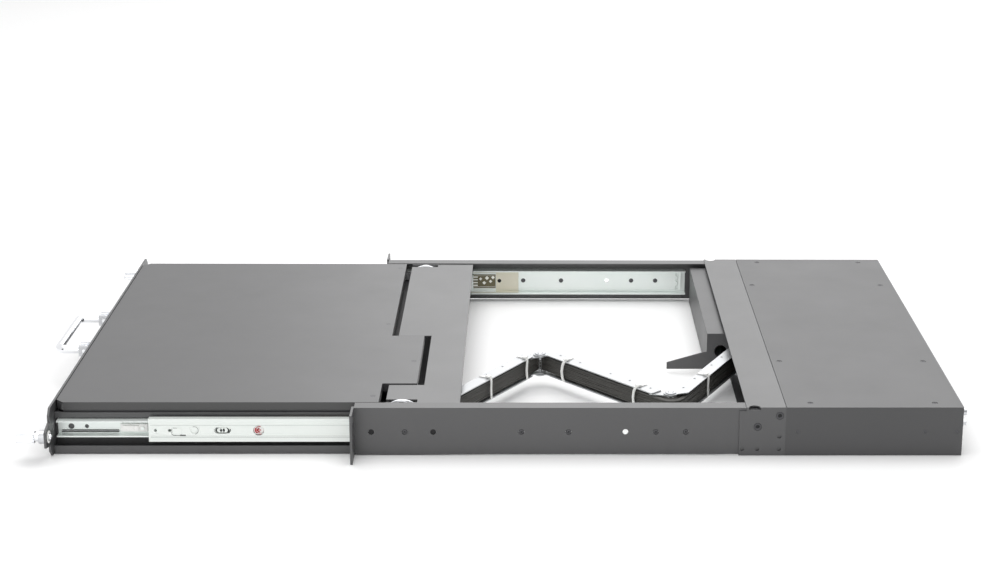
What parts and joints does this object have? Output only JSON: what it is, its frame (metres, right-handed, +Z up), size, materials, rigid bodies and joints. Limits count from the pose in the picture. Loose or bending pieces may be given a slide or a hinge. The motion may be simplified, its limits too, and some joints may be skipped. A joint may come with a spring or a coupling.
{
  "type": "rackmount kvm console",
  "caption": "Rack console drawer on telescopic slides, with a hinged display lid, keyboard and touchpad, rear switch box and folding cable arm.",
  "frame": {"origin": "centre of the rack-ear slot pattern, on the front face of the ears", "axes": "+X to the operator's right, +Y to the rear of the rack, +Z up; the operator stands on the -Y side"},
  "size_m": [0.4826, 0.8237, 0.044],
  "materials": {
    "dark_paint": "satin powder coat",
    "zinc_steel": "bright zinc",
    "cage_brass": "passivated",
    "chrome_plate": "polished",
    "arm_steel": "satin",
    "black_cable": "matt",
    "white_nylon": "moulded",
    "red_nylon": "moulded",
    "black_plastic": "fine texture",
    "key_plastic": "fine texture",
    "display_glass": "gloss",
    "board_green": "solder mask",
    "black_screw": "black zinc"
  },
  "bodies": {
    "frame": {"rail_right": "dark_paint", "rail_left": "dark_paint", "slide_outer_right": "zinc_steel", "slide_outer_left": "zinc_steel", "rear_bridge": "dark_paint", "switch_chassis": "dark_paint", "switch_cover": "dark_paint", "switch_board": "board_green", "rear_ports": "zinc_steel", "shelf_housing": "dark_paint", "frame_screws": "black_screw", "arm_post": "zinc_steel"},
    "drawer": {"front_panel": "dark_paint", "drawer_tray": "dark_paint", "hinge_cover": "dark_paint", "slide_inner_right": "zinc_steel", "slide_inner_left": "zinc_steel", "hinge_brackets": "zinc_steel", "keyboard_frame": "black_plastic", "touchpad": "black_plastic", "arm_anchor": "dark_paint", "handle_brackets": "chrome_plate", "screw_bushings": "chrome_plate"},
    "lid": {"lid_shell": "dark_paint", "display_panel": "display_glass", "display_bezel": "black_plastic", "lid_hinge_arms": "zinc_steel", "lid_screws": "black_screw"},
    "menu_buttons": {"menu_buttons": "key_plastic"},
    "letter_keys": {"letter_keys": "key_plastic"},
    "space_bar": {"space_bar": "key_plastic"},
    "number_pad": {"number_pad_keys": "key_plastic"},
    "touch_button_left": {"touch_button_left": "key_plastic"},
    "touch_button_right": {"touch_button_right": "key_plastic"},
    "slide_mid_right": {"slide_mid_right": "zinc_steel"},
    "slide_mid_left": {"slide_mid_left": "zinc_steel"},
    "ball_cage_right": {"ball_cage_right": "cage_brass"},
    "ball_cage_left": {"ball_cage_left": "cage_brass"},
    "inner_cage_right": {"inner_cage_right": "cage_brass"},
    "inner_cage_left": {"inner_cage_left": "cage_brass"},
    "release_lever_right": {"release_lever_right": "white_nylon"},
    "release_lever_left": {"release_lever_left": "white_nylon"},
    "slide_latch_right": {"slide_latch_right": "red_nylon"},
    "slide_latch_left": {"slide_latch_left": "red_nylon"},
    "arm_rear": {"arm_link_rear": "arm_steel", "arm_cable_rear": "black_cable", "cable_ties_rear": "white_nylon", "cable_tail": "black_cable"},
    "arm_middle": {"arm_link_middle": "arm_steel", "arm_cable_middle": "black_cable", "cable_ties_middle": "white_nylon", "cable_loop_rear": "black_cable"},
    "arm_front": {"arm_link_front": "arm_steel", "arm_cable_front": "black_cable", "cable_ties_front": "white_nylon", "cable_loop_front": "black_cable"},
    "handle": {"handle_bow": "chrome_plate"},
    "thumbscrew_right": {"thumbscrew_right": "chrome_plate"},
    "thumbscrew_left": {"thumbscrew_left": "chrome_plate"}
  },
  "joints": [
    {"name": "drawer_slide", "type": "slide", "parent": "frame", "child": "drawer", "axis": [0, -1, 0], "range_m": [-0.254, 0.086]},
    {"name": "middle_member_right", "type": "slide", "parent": "frame", "child": "slide_mid_right", "axis": [0, -1, 0], "range_m": [-0.17449, 0.05941]},
    {"name": "ball_cage_roll_right", "type": "slide", "parent": "frame", "child": "ball_cage_right", "axis": [0, -1, 0], "range_m": [-0.0875, 0.02995]},
    {"name": "inner_cage_roll_right", "type": "slide", "parent": "frame", "child": "inner_cage_right", "axis": [0, -1, 0], "range_m": [-0.2145, 0.07295]},
    {"name": "middle_member_left", "type": "slide", "parent": "frame", "child": "slide_mid_left", "axis": [0, -1, 0], "range_m": [-0.17449, 0.05941]},
    {"name": "ball_cage_roll_left", "type": "slide", "parent": "frame", "child": "ball_cage_left", "axis": [0, -1, 0], "range_m": [-0.0875, 0.02995]},
    {"name": "inner_cage_roll_left", "type": "slide", "parent": "frame", "child": "inner_cage_left", "axis": [0, -1, 0], "range_m": [-0.2145, 0.07295]},
    {"name": "arm_rear_pivot", "type": "hinge", "parent": "frame", "child": "arm_rear", "pos_m": [0.019, 0.3549, 0.0005], "axis": [0, 0, 1], "range_deg": [-9.44, 27.3], "deforming": ["cable_tail"]},
    {"name": "arm_middle_pivot", "type": "hinge", "parent": "arm_rear", "child": "arm_middle", "pos_m": [0.1541, 0.27753, 0.0005], "axis": [0, 0, 1], "range_deg": [-69.91, 23.87], "deforming": ["cable_loop_rear"]},
    {"name": "arm_front_pivot", "type": "hinge", "parent": "arm_middle", "child": "arm_front", "pos_m": [0.0497, 0.16196, 0.0005], "axis": [0, 0, 1], "range_deg": [-25.56, 74.91], "deforming": ["cable_loop_front"]},
    {"name": "lid_hinge", "type": "hinge", "parent": "drawer", "child": "lid", "pos_m": [0, 0.042, 0.013], "axis": [-1, 0, 0], "range_deg": [0, 110]},
    {"name": "handle_fold", "type": "hinge", "parent": "drawer", "child": "handle", "pos_m": [0, -0.2637, 0.013], "axis": [1, 0, 0], "range_deg": [0, 90]},
    {"name": "thumbscrew_turn_right", "type": "hinge", "parent": "drawer", "child": "thumbscrew_right", "pos_m": [0.23255, -0.262, 0], "axis": [0, -1, 0], "continuous": true},
    {"name": "release_lever_right", "type": "hinge", "parent": "drawer", "child": "release_lever_right", "pos_m": [0.2089, -0.18, -0.0008], "axis": [1, 0, 0], "range_deg": [0, 8], "stiffness_Nm_per_rad": 0.02},
    {"name": "slide_latch_right", "type": "hinge", "parent": "slide_mid_right", "child": "slide_latch_right", "pos_m": [0.215, -0.09359, -0.0008], "axis": [1, 0, 0], "range_deg": [0, 5], "stiffness_Nm_per_rad": 0.01},
    {"name": "thumbscrew_turn_left", "type": "hinge", "parent": "drawer", "child": "thumbscrew_left", "pos_m": [-0.23255, -0.262, 0], "axis": [0, -1, 0], "continuous": true},
    {"name": "release_lever_left", "type": "hinge", "parent": "drawer", "child": "release_lever_left", "pos_m": [-0.2089, -0.18, -0.0008], "axis": [1, 0, 0], "range_deg": [0, 8], "stiffness_Nm_per_rad": 0.02},
    {"name": "slide_latch_left", "type": "hinge", "parent": "slide_mid_left", "child": "slide_latch_left", "pos_m": [-0.215, -0.09359, -0.0008], "axis": [1, 0, 0], "range_deg": [0, 5], "stiffness_Nm_per_rad": 0.01},
    {"name": "letter_key_press", "type": "slide", "parent": "drawer", "child": "letter_keys", "axis": [0, 0, -1], "range_m": [0, 0.002], "stiffness_N_per_m": 900, "springref_m": -0.002},
    {"name": "space_bar_press", "type": "slide", "parent": "drawer", "child": "space_bar", "axis": [0, 0, -1], "range_m": [0, 0.002], "stiffness_N_per_m": 250, "springref_m": -0.002},
    {"name": "number_key_press", "type": "slide", "parent": "drawer", "child": "number_pad", "axis": [0, 0, -1], "range_m": [0, 0.002], "stiffness_N_per_m": 400, "springref_m": -0.002},
    {"name": "touch_button_press_left", "type": "slide", "parent": "drawer", "child": "touch_button_left", "axis": [0, 0, -1], "range_m": [0, 0.0008], "stiffness_N_per_m": 400, "springref_m": -0.001},
    {"name": "touch_button_press_right", "type": "slide", "parent": "drawer", "child": "touch_button_right", "axis": [0, 0, -1], "range_m": [0, 0.0008], "stiffness_N_per_m": 400, "springref_m": -0.001},
    {"name": "menu_button_press", "type": "slide", "parent": "lid", "child": "menu_buttons", "axis": [0, 0, 1], "range_m": [0, 0.0005], "stiffness_N_per_m": 300, "springref_m": -0.001}
  ],
  "couplings": [
    {"joint": "middle_member_right", "follows": "drawer_slide", "ratio": 0.685},
    {"joint": "ball_cage_roll_right", "follows": "drawer_slide", "ratio": 0.3425},
    {"joint": "inner_cage_roll_right", "follows": "drawer_slide", "ratio": 0.8425},
    {"joint": "middle_member_left", "follows": "drawer_slide", "ratio": 0.685},
    {"joint": "ball_cage_roll_left", "follows": "drawer_slide", "ratio": 0.3425},
    {"joint": "inner_cage_roll_left", "follows": "drawer_slide", "ratio": 0.8425},
    {"joint": "arm_rear_pivot", "follows": "drawer_slide", "rad_per_m": -1.8553},
    {"joint": "arm_middle_pivot", "follows": "drawer_slide", "rad_per_m": 4.783},
    {"joint": "arm_front_pivot", "follows": "drawer_slide", "rad_per_m": -5.1269}
  ]
}
